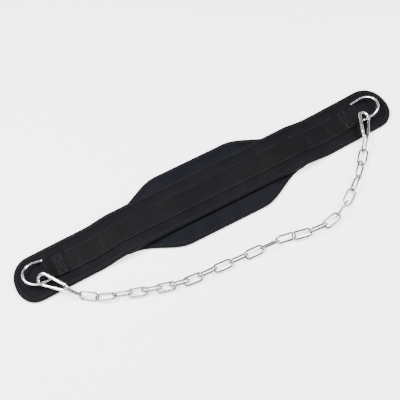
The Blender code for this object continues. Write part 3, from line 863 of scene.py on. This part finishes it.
def ring_shape():
    """A D-ring about its bar: a bow on two arms, and a straight bar with small corners."""
    bow = arc((RING_ARM, 0), RING_RADIUS, -QUARTER, QUARTER, count=64)
    far_corner = arc((RING_CORNER, RING_RADIUS - RING_CORNER), RING_CORNER,
                     QUARTER, 2 * QUARTER, count=10)
    near_corner = arc((RING_CORNER, -RING_RADIUS + RING_CORNER), RING_CORNER,
                      2 * QUARTER, 3 * QUARTER, count=10)
    return bent_wire(bow + far_corner + near_corner, RING_WIRE, sides=20, closed=True)


def link_shape(weld):
    """One link: two round ends and straight sides, with a low bead where one side is welded."""
    radius = (LINK_WIDTH - LINK_WIRE) / 2
    centre = (LINK_LENGTH - LINK_WIRE) / 2 - radius
    bead_rise, bead_width, bead_reach, steps = 0.07, 0.0011, 0.004, 8
    points = arc((centre, 0), radius, -QUARTER, QUARTER, count=18)
    points += [Vector((centre * (1 - 2 * step / steps), radius, 0)) for step in range(1, steps)]
    points += arc((-centre, 0), radius, QUARTER, 3 * QUARTER, count=18)
    points += [Vector((centre * (2 * step / steps - 1), -radius, 0)) for step in range(1, steps)]
    bm = bent_wire(points, LINK_WIRE, sides=14, closed=True)
    for corner in bm.verts:
        if weld * corner.co.y > 0 and abs(corner.co.x) < bead_reach:
            core = Vector((corner.co.x, weld * radius, 0))
            bead = 1 + bead_rise * math.exp(-(corner.co.x / bead_width) ** 2)
            corner.co = core + (corner.co - core) * bead
    return bm


def ring_frame(side):
    """Where a ring lies: its bar in the strap's loop, its bow towards the belt's tip."""
    bar = laid(side * BAR_REACH, 0.0, BAR_HEIGHT)
    out = Vector((side * math.cos(RING_TILT), 0, math.sin(RING_TILT)))
    across = Matrix.Rotation(-side * RING_ROLL, 3, out) @ Vector((0, 1, 0))
    return set_at(bar, out, across, out.cross(across))


def hook_frame(side, heading, cross, slip):
    """Where a hook lies: its outer side under the ring's near arm, its inner side over the loop."""
    flat = Vector((math.cos(heading), math.sin(heading), 0))
    level = Vector((-flat.y, flat.x, 0)) * side
    along = flat * math.cos(HOOK_DIP) - UP * math.sin(HOOK_DIP)
    outer = level * math.cos(HOOK_ROLL) - along.cross(level) * (side * math.sin(HOOK_ROLL))
    arm = ring_frame(side) @ Vector((cross, -RING_RADIUS, 0))
    under = arm - Vector((0, 0, (RING_WIRE + HOOK_WIRE) / 2 + 1.8 * GAP))
    centre = under - outer * HOOK_WIDE - along * slip
    return set_at(centre, along, -outer, along.cross(-outer))


def link_frame(node):
    """Where a link's solid lies, read from its corners: along its length, then across its width.

    Both directions are those in which the corners lie widest, which each round draws nearer to.
    """
    corners = [Vector(corner.co) for corner in node.data.vertices]
    centre = sum(corners, Vector()) / len(corners)
    arms = [corner - centre for corner in corners]
    along = max(arms, key=lambda arm: arm.length).normalized()
    rounds_along, rounds_across = 8, 40
    for _ in range(rounds_along):
        along = sum((arm * arm.dot(along) for arm in arms), Vector()).normalized()
    across = Vector((along.y, -along.x, 0.3)).cross(along).normalized()
    for _ in range(rounds_across):
        across = sum((arm * arm.dot(across) for arm in arms), Vector())
        across = (across - along * across.dot(along)).normalized()
    return set_at(centre, along, across, along.cross(across))


def build_padding(node, outline, floor, top, thick, finishes, columns):
    """One filled core, the tape round its rim and the tape's stitches."""
    stations, half_width, end_reach = outline
    face, tape, thread = finishes
    filled, taped = node + "_filled", node + "_tape"
    slab = padded_slab(filled, stations, half_width, end_reach, columns, floor, top)
    show(filled, slab, face, slot="padding", nodes=[node])
    rim, total = even_rim(stations, half_width, end_reach, STITCH_PITCH / 3)
    strip = folded_tape(taped, rim, total, floor, thick)
    piece = show(taped, strip, tape, slot="tape", nodes=[node + "_binding"])
    rim, _ = even_rim(stations, half_width, end_reach, STITCH_PITCH)
    rim_seam(node + "_stitches", rim, lambda x: floor(x) + thick - TAPE_DROOP, thread)


def strap_stitch_lines():
    """Two seams along the strap, the tacks across it, and a box and cross on each folded end."""
    top = STRAP_BASE - GAP + STRAP_THICK - SUNK
    over = top + STRAP_THICK + GAP / 2
    reach, count = FOLD_END - SEAM_STOP, 160
    xs = [-reach + 2 * reach * step / count for step in range(count + 1)]
    lines = []
    for side in (1, -1):
        y = side * (STRAP_WIDTH / 2 - STRAP_SEAM)
        lines.append([laid(x, y, band_floor(x) + top) for x in xs])
    for x in [tack + row for tack in TACKS for row in TACK_ROWS]:
        lines.append([laid(x, y, band_floor(x) + top) for y in TACK_ENDS])
    far, near = FOLD_END + BOX_FROM, BAR_REACH - BOX_TO
    half = STRAP_WIDTH / 2 - STRAP_SEAM - BOX_INSET
    box_and_stroke = ((far, -half), (near, -half), (near, half), (far, half), (far, -half),
                      (near, half))
    other_stroke = ((far, half), (near, -half))
    for side in (1, -1):
        for corners in (box_and_stroke, other_stroke):
            lines.append([laid(side * x, y, over) for x, y in corners])
    return lines


def build_soft():
    """The padding, the tapes, the strap and their stitches."""
    pad_face = fabric_face("pad_knit_over_foam", *PAD_CLOTH)
    band_face = fabric_face("band_knit_over_foam", *BAND_CLOTH)
    tape = ribbed_tape("binding_tape", *TAPE_CLOTH)
    strap = woven_strap("nylon_webbing", *STRAP_CLOTH)
    thread = thread_finish("black_thread", *THREAD)

    neck_at = PAD_FULL + PAD_TAPER
    tail = [neck_at + PAD_CORNER * math.sin(math.radians(angle)) for angle in range(15, 91, 15)]
    outline = stations_along(neck_at, count=118, tail=tail), pad_half_width, PAD_END
    build_padding("back_pad", outline, pad_floor, pad_top, PAD_RIM_TOP,
                  (pad_face, tape, thread), columns=56)

    tip_at = BAND_LENGTH / 2 - TIP_LENGTH
    tail = [tip_at + TIP_LENGTH * math.cos(math.radians(angle)) ** (2 / TIP_POWER)
            for angle in range(85, 0, -5)]
    outline = stations_along(tip_at, count=234, tail=tail), band_half_width, BAND_LENGTH / 2
    build_padding("band", outline, band_floor, band_top, BAND_THICK,
                  (band_face, tape, thread), columns=44)

    strip, length = strap_mesh()
    piece = show("webbing_strap", strip, strap, slot="webbing", nodes=["webbing"])
    strap_seam("webbing_stitches", strap_stitch_lines(), thread)


def show_metal(name, shape, place, finish, slot, node, **more):
    """Lays a metal shape in its place and shows it."""
    shape.transform(place)
    show(name, closed_mesh(shape, name), finish, slot=slot, nodes=[node], **more)


def build_metal():
    """The rings, the hooks with their gates, and the chain."""
    nickel = bright_metal("nickel_plate", *NICKEL, roughness=0.19, grime=0.10, patches=160.0)
    zinc = bright_metal("zinc_plate", *ZINC, roughness=0.22, grime=0.30, patches=240.0)
    for name, side, heading, cross, slip in HOOKS:
        show_metal("d_ring_" + name, ring_shape(), ring_frame(side), nickel,
                   "plated_steel", "ring_" + name)
        place = hook_frame(side, heading, cross, slip)
        show_metal("snap_hook_" + name, hook_shape(), place, nickel,
                   "plated_steel", "hook_" + name, angle=35.0)
        show_metal("hook_gate_" + name, gate_shape(), place @ rivet_place(), nickel,
                   "plated_steel", "gate_" + name, body="gate_" + name, angle=35.0)
    for number in range(1, LINK_COUNT + 1):
        name = "link_%02d" % number
        weld = 1 if number % 3 else -1
        show_metal("chain_" + name, link_shape(weld), link_frame(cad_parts[name]), zinc,
                   "zinc_chain", name)


def soft_light(name, place, size, power):
    """A soft square light that looks at the belt's middle."""
    light = bpy.data.lights.new(name, "AREA")
    light.shape = "RECTANGLE"
    light.size, light.size_y = size
    light.energy = power
    lamp = in_scene(name, light)
    lamp.location = place
    lamp.rotation_euler = (-Vector(place)).to_track_quat("-Z", "Y").to_euler()


def set_camera():
    """The camera that was fitted to the photograph."""
    level = math.cos(CAMERA_PITCH)
    back = Vector((math.sin(CAMERA_YAW) * level, -math.cos(CAMERA_YAW) * level,
                   math.sin(CAMERA_PITCH)))
    right = Vector((math.cos(CAMERA_YAW), math.sin(CAMERA_YAW), 0))
    up = back.cross(right)
    turned = right * math.cos(CAMERA_ROLL) + up * math.sin(CAMERA_ROLL)
    raised = up * math.cos(CAMERA_ROLL) - right * math.sin(CAMERA_ROLL)
    lens = bpy.data.cameras.new("camera")
    lens.sensor_width = SENSOR
    lens.lens = FOCAL_PIXELS * SENSOR / PHOTO_PIXELS
    lens.clip_start = CLIP_START
    camera = in_scene("camera", lens)
    camera.matrix_world = set_at(CAMERA_AIM + back * CAMERA_DISTANCE, turned, raised, back)
    bpy.context.scene.camera = camera


def build_studio():
    """A pale floor that gives off a little light, three soft lights and a faint sky."""
    bm = bmesh.new()
    bmesh.ops.create_grid(bm, x_segments=1, y_segments=1, size=FLOOR_HALF)
    bmesh.ops.translate(bm, vec=(0, 0, -FLOOR_DROP), verts=bm.verts)
    floor = in_scene("floor", closed_mesh(bm, "floor"))
    pale = Nodes("pale_floor", FLOOR_COLOUR, 0.6)
    pale.shader.inputs["Emission Color"].default_value = WHITE
    pale.shader.inputs["Emission Strength"].default_value = FLOOR_GLOW
    floor.data.materials.append(pale.material)
    for name, place, size, power in LIGHTS:
        soft_light(name, place, size, power)
    world = bpy.data.worlds.new("studio")
    world.use_nodes = True
    sky = world.node_tree.nodes["Background"]
    sky.inputs["Color"].default_value = WHITE
    sky.inputs["Strength"].default_value = SKY
    bpy.context.scene.world = world


build_studio()
set_camera()
build_soft()
build_metal()
